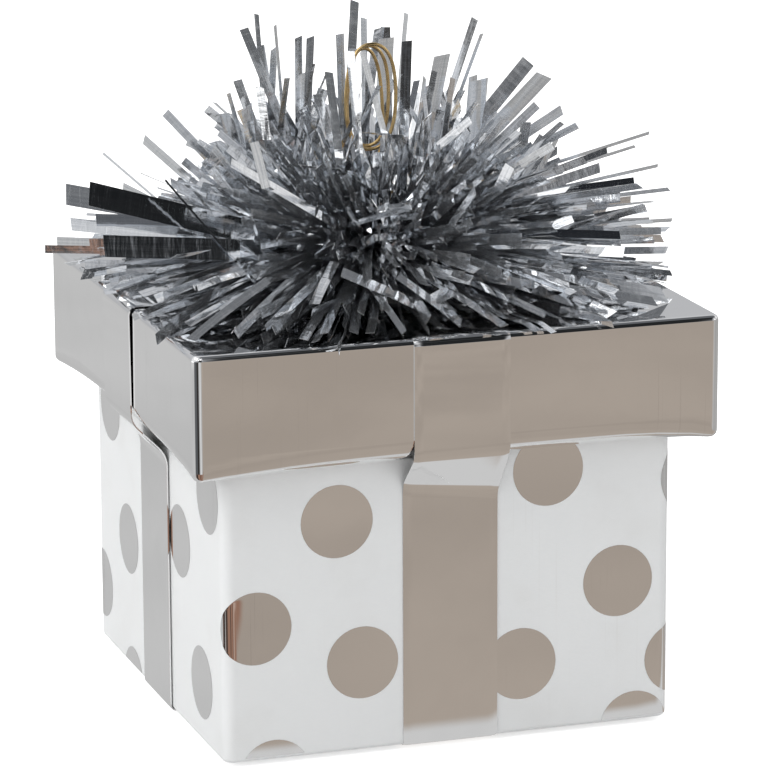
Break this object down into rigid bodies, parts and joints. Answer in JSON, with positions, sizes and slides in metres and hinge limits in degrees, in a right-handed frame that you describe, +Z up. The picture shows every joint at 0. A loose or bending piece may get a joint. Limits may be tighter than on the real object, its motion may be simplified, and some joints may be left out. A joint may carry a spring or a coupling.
{
  "type": "balloon weight",
  "caption": "Foil gift-box balloon weight: dotted ballasted box, silver lid crossed by ribbons, tinsel burst on top and a gold wire loop for tying balloon ribbons.",
  "frame": {"origin": "middle of the underside of the base card, on the surface that the weight stands on", "axes": "+Z up through the stem of the tie loop; the front face of the box looks along -Y and its left face along -X"},
  "size_m": [0.0706, 0.0691, 0.0876],
  "materials": {
    "chipboard": "matte",
    "white_paper": "satin",
    "dot_foil": "polished",
    "plain_card": "matte",
    "pouch_film": "satin",
    "sand": "matte",
    "hot_melt": "satin",
    "lid_card": "matte",
    "lid_foil": "polished",
    "ribbon_foil": "polished",
    "tinsel_foil": "polished",
    "binding_wire": "satin",
    "gold_wire": "gloss",
    "gold_sleeve": "satin",
    "stem_wire": "satin",
    "washer_plastic": "matte"
  },
  "bodies": {
    "weight": {"base_tray": "chipboard", "base_wrap": "white_paper", "foil_dots": "dot_foil", "base_card": "plain_card", "ballast_pouch": "pouch_film", "ballast_sand": "sand", "pouch_glue": "hot_melt", "lid_board": "lid_card", "lid_foil": "lid_foil", "ribbon_front_back": "ribbon_foil", "ribbon_left_right": "ribbon_foil", "pom_disc": "plain_card", "pom_binding": "binding_wire", "stem_washer": "washer_plastic", "tinsel_tuft_1": "tinsel_foil", "tinsel_tuft_2": "tinsel_foil", "tinsel_tuft_3": "tinsel_foil", "tinsel_tuft_4": "tinsel_foil", "tinsel_tuft_5": "tinsel_foil", "tinsel_tuft_6": "tinsel_foil", "tinsel_tuft_7": "tinsel_foil", "tinsel_tuft_8": "tinsel_foil"},
    "loop": {"tie_loop": "gold_wire", "loop_ferrule": "gold_sleeve", "loop_stem": "stem_wire"}
  },
  "joints": [
    {"name": "loop_swivel", "type": "hinge", "parent": "weight", "child": "loop", "pos_m": [0, 0, 0.0511], "axis": [0, 0, 1], "continuous": true}
  ]
}
